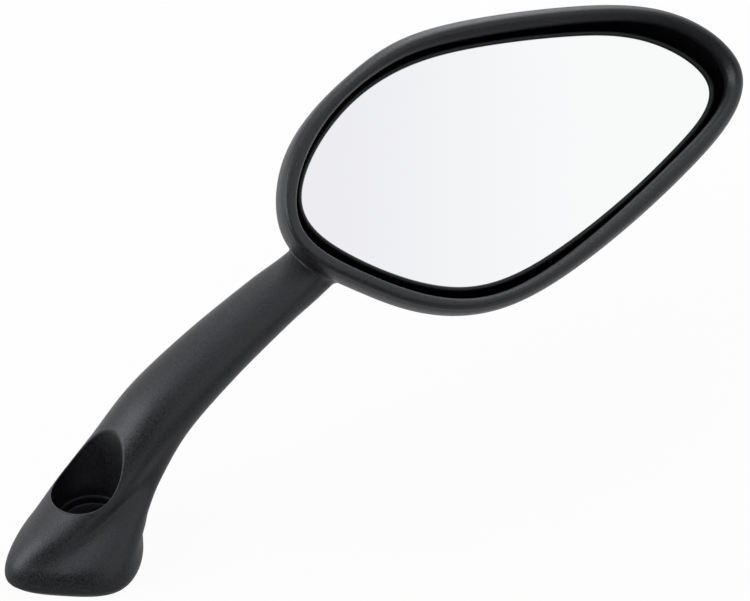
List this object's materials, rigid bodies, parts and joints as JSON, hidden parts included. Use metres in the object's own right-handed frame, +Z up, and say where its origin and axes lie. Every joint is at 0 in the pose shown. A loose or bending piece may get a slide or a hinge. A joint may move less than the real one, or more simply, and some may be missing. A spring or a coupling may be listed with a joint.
{
  "type": "motorcycle mirror",
  "caption": "Motorcycle mirror with a teardrop head, convex glass on a ball joint, and a one-piece curved arm whose foot has a deep tool pocket over its fixing hole.",
  "frame": {"origin": "centre of the bolt hole in the foot, on the flat underside of the foot", "axes": "+Z up the bolt axis out of the tool pocket, +X to the rider's right along the long way of the foot, and the glass faces -Y and upwards"},
  "size_m": [0.2739, 0.2028, 0.1389],
  "materials": {
    "housing": "fine-grained matte black moulding",
    "foot_bush": "zinc-plated steel",
    "socket": "plain black acetal",
    "socket_screws": "zinc-plated steel",
    "spring_ring": "spring steel wire",
    "cross_pin": "ground steel",
    "ball": "natural acetal",
    "ball_screws": "zinc-plated steel",
    "carrier": "satin black moulding",
    "pad": "closed-cell foam tape",
    "glass": "silvered glass"
  },
  "bodies": {
    "housing": {"housing": "housing", "foot_bush": "foot_bush", "socket": "socket", "socket_screws": "socket_screws", "spring_ring": "spring_ring"},
    "pin": {"cross_pin": "cross_pin"},
    "mirror": {"ball": "ball", "ball_screws": "ball_screws", "carrier": "carrier", "pad": "pad", "glass": "glass"}
  },
  "joints": [
    {"name": "glass_pan", "type": "hinge", "parent": "housing", "child": "pin", "pos_m": [0.15314, 0.11489, 0.08836], "axis": [-0.2991, 0.627, 0.7193], "range_deg": [-5, 5]},
    {"name": "glass_tilt", "type": "hinge", "parent": "pin", "child": "mirror", "pos_m": [0.15314, 0.11489, 0.08836], "axis": [0.9026, 0.4305, 0], "range_deg": [-4, 4]}
  ]
}
